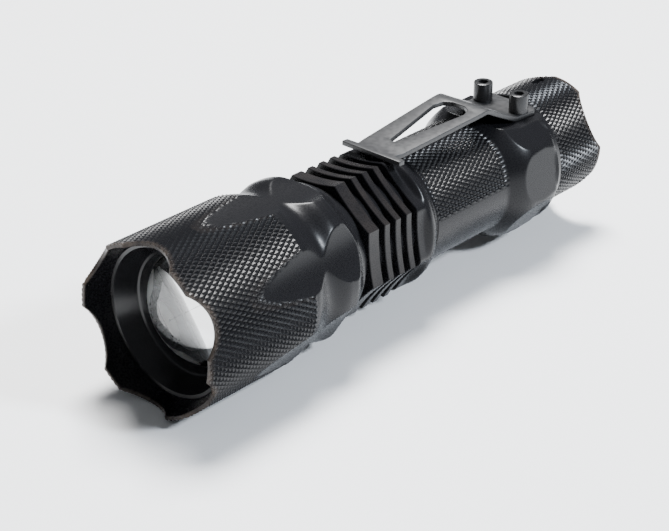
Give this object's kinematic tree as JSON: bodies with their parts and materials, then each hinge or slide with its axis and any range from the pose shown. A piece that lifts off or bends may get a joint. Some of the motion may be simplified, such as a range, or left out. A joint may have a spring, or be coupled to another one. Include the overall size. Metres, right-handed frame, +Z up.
{
  "type": "tactical flashlight",
  "caption": "Compact tactical flashlight with a sliding zoom head behind a lobed crown, finned neck, knurled barrel, screw-on tailcap with a recessed push button, and a springy pocket clip.",
  "frame": {"origin": "bottom centre of the bounding box, with the light lying on its side and the clip on top", "axes": "+Y along the optical axis from the lens to the tailcap, +Z up through the clip, +X to the side"},
  "size_m": [0.027, 0.0956, 0.0274],
  "materials": {
    "anodised": "black anodised aluminium with a fine satin sheen, knurled",
    "smooth_anodised": "turned smooth and anodised black",
    "clip_steel": "spring steel with a dark grey coating",
    "screw_steel": "black oxide steel",
    "spring_steel": "plated spring wire",
    "lens": "clear polished",
    "seal_rubber": "black nitrile",
    "boot_rubber": "matt black silicone",
    "brass": "turned brass",
    "board_white": "white solder mask on an aluminium board",
    "phosphor": "yellow phosphor under clear silicone",
    "board_green": "green solder mask",
    "cell_sleeve": "plain printed sleeve with no lettering",
    "switch_plastic": "black moulded plastic"
  },
  "bodies": {
    "tube": {"main_body": "anodised", "head_stop_ring": "spring_steel", "pill": "brass", "led_board": "board_white", "led_emitter": "phosphor", "driver_board": "board_green", "driver_spring": "spring_steel", "battery_cell": "cell_sleeve", "clip_plate": "clip_steel", "clip_screws": "screw_steel"},
    "zoom_seal": {"zoom_oring": "seal_rubber"},
    "head": {"head_bezel": "anodised", "bezel_ring": "smooth_anodised", "lens": "lens", "lens_oring": "seal_rubber"},
    "tail_seal": {"tail_oring": "seal_rubber"},
    "tail": {"tailcap": "anodised", "switch_boot": "boot_rubber", "boot_washer": "switch_plastic", "contact_ring": "brass", "switch_holder": "switch_plastic", "switch_housing": "switch_plastic", "switch_board": "board_green", "switch_spring": "spring_steel", "tail_spring": "spring_steel"},
    "button": {"switch_plunger": "switch_plastic"},
    "clip": {"clip_arm": "clip_steel"}
  },
  "joints": [
    {"name": "head_turn", "type": "hinge", "parent": "tube", "child": "zoom_seal", "pos_m": [0, -0.0289, 0.0135], "axis": [0, 1, 0], "continuous": true},
    {"name": "head_zoom", "type": "slide", "parent": "zoom_seal", "child": "head", "axis": [0, -1, 0], "range_m": [0, 0.006]},
    {"name": "tailcap_turn", "type": "hinge", "parent": "tube", "child": "tail_seal", "pos_m": [0, 0.03695, 0.0135], "axis": [0, 1, 0], "range_deg": [0, 1080]},
    {"name": "tailcap_travel", "type": "slide", "parent": "tail_seal", "child": "tail", "axis": [0, 1, 0], "range_m": [0, 0.00226], "deforming": ["tail_spring"]},
    {"name": "button_press", "type": "slide", "parent": "tail", "child": "button", "axis": [0, -1, 0], "range_m": [0, 0.002], "stiffness_N_per_m": 1200, "springref_m": -0.0008, "deforming": ["switch_boot", "switch_spring"]},
    {"name": "clip_flex", "type": "hinge", "parent": "tube", "child": "clip", "pos_m": [0, 0.0302, 0.0227], "axis": [-1, 0, 0], "range_deg": [0, 5], "stiffness_Nm_per_rad": 2, "springref_deg": -1.15}
  ],
  "couplings": [
    {"joint": "tailcap_travel", "follows": "tailcap_turn", "m_per_rad": 0.00011937}
  ]
}
